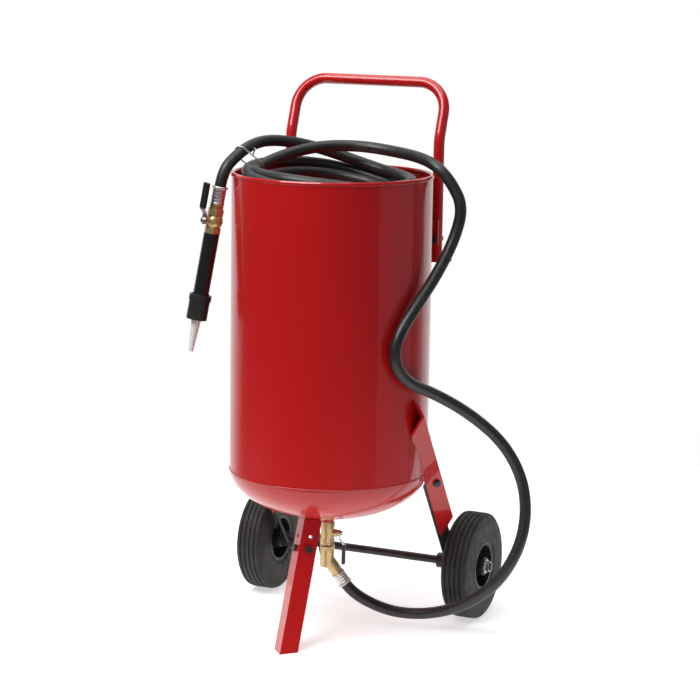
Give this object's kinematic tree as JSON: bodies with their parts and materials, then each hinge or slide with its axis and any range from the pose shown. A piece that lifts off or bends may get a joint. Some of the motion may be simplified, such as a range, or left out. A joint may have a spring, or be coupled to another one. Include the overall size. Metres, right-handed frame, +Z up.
{
  "type": "abrasive blast pot",
  "caption": "Portable pressure-pot sandblaster: red hopper-top vessel on two wheels and a front leg, tow handle, coiled blast hose and ball-valve gun.",
  "frame": {"origin": "on the floor in the middle of the machine's footprint: halfway between the axle nuts in X, and between the heel of the front leg and the back of the wheels in Y; the vessel's axis stands 50.5 mm in front of it, at y = -0.0505", "axes": "+Z up, front leg towards -Y, axle along X, right wheel at +X"},
  "size_m": [0.6451, 0.505, 1.0615],
  "materials": {
    "red_paint": "gloss red enamel",
    "black_steel": "satin black paint",
    "zinc_steel": "bright zinc plate",
    "brass": "machined brass",
    "chrome": "bright chrome",
    "hose_rubber": "satin black hose cover",
    "tyre_rubber": "matt solid rubber",
    "hub_plastic": "moulded black",
    "bush_nylon": "natural nylon",
    "seat_plastic": "white PTFE",
    "seal_rubber": "black rubber",
    "sleeve_vinyl": "dipped black vinyl",
    "grip_black": "satin black",
    "ceramic": "fired white ceramic",
    "gauge_face": "printed white dial",
    "gauge_glass": "clear",
    "ferrule_steel": "crimped zinc"
  },
  "bodies": {
    "vessel": {"tank_shell": "red_paint", "bottom_head": "red_paint", "top_head": "red_paint", "filling_ring": "red_paint", "filling_seal": "seal_rubber", "cone_guide": "zinc_steel", "pipe_couplings": "red_paint", "front_leg": "red_paint", "front_leg_bracket": "red_paint", "rear_legs": "red_paint", "axle_carriers": "black_steel", "frame_bolts": "black_steel", "frame_nuts": "black_steel", "axle": "black_steel", "axle_washers": "zinc_steel", "axle_nuts": "zinc_steel", "tow_handle": "red_paint", "handle_brackets": "red_paint", "media_valve_body": "brass", "air_valve_body": "brass", "gun_valve_body": "brass", "valve_seats": "seat_plastic", "stem_nuts": "brass", "pipe_nipples": "brass", "mixing_tee": "brass", "hose_stems": "brass", "hose_ferrules": "ferrule_steel", "blast_hose": "hose_rubber", "hose_coil": "hose_rubber", "hose_tie": "zinc_steel", "gun_tube": "grip_black", "nozzle_holder": "hub_plastic", "nozzle_washer": "seal_rubber", "ceramic_nozzle": "ceramic", "air_cross": "brass", "inlet_plug": "zinc_steel", "relief_valve_body": "brass", "gauge_case": "black_steel", "gauge_dial": "gauge_face", "gauge_lens": "gauge_glass", "air_line": "hose_rubber", "air_line_fittings": "chrome"},
    "wheel_left": {"tyre_left": "tyre_rubber", "hub_left": "hub_plastic", "wheel_bush_left": "bush_nylon"},
    "wheel_right": {"tyre_right": "tyre_rubber", "hub_right": "hub_plastic", "wheel_bush_right": "bush_nylon"},
    "media_lever": {"media_valve_ball": "chrome", "media_valve_lever": "zinc_steel", "media_valve_lever_sleeve": "sleeve_vinyl"},
    "air_lever": {"air_valve_ball": "chrome", "air_valve_lever": "zinc_steel", "air_valve_lever_sleeve": "sleeve_vinyl"},
    "gun_lever": {"gun_valve_ball": "chrome", "gun_valve_lever": "zinc_steel", "gun_valve_lever_sleeve": "sleeve_vinyl"},
    "filling_cone": {"pop_up_cone": "seal_rubber"},
    "needle": {"gauge_needle": "black_steel"},
    "relief_pull": {"relief_pull_ring": "zinc_steel"}
  },
  "joints": [
    {"name": "wheel_left_spin", "type": "hinge", "parent": "vessel", "child": "wheel_left", "pos_m": [-0.224, 0.1475, 0.105], "axis": [1, 0, 0], "continuous": true},
    {"name": "wheel_right_spin", "type": "hinge", "parent": "vessel", "child": "wheel_right", "pos_m": [0.224, 0.1475, 0.105], "axis": [1, 0, 0], "continuous": true},
    {"name": "media_valve_turn", "type": "hinge", "parent": "vessel", "child": "media_lever", "pos_m": [0, -0.0505, 0.188], "axis": [-0.9397, -0.342, 0], "range_deg": [0, 90]},
    {"name": "air_valve_turn", "type": "hinge", "parent": "vessel", "child": "air_lever", "pos_m": [0.05, 0.1755, 0.672], "axis": [0, 0, 1], "range_deg": [0, 90]},
    {"name": "gun_valve_turn", "type": "hinge", "parent": "vessel", "child": "gun_lever", "pos_m": [-0.18774, -0.17038, 0.79497], "axis": [-0.4057, -0.904, 0.1347], "range_deg": [0, 90]},
    {"name": "filling_cone_lift", "type": "slide", "parent": "vessel", "child": "filling_cone", "axis": [0, 0, 1], "range_m": [0, 0.027]},
    {"name": "gauge_needle_turn", "type": "hinge", "parent": "vessel", "child": "needle", "pos_m": [0, 0.171, 0.728], "axis": [0, -1, 0], "range_deg": [0, 270], "stiffness_Nm_per_rad": 0.00002},
    {"name": "relief_pull_slide", "type": "slide", "parent": "vessel", "child": "relief_pull", "axis": [-1, 0, 0], "range_m": [0, 0.003], "stiffness_N_per_m": 600}
  ]
}
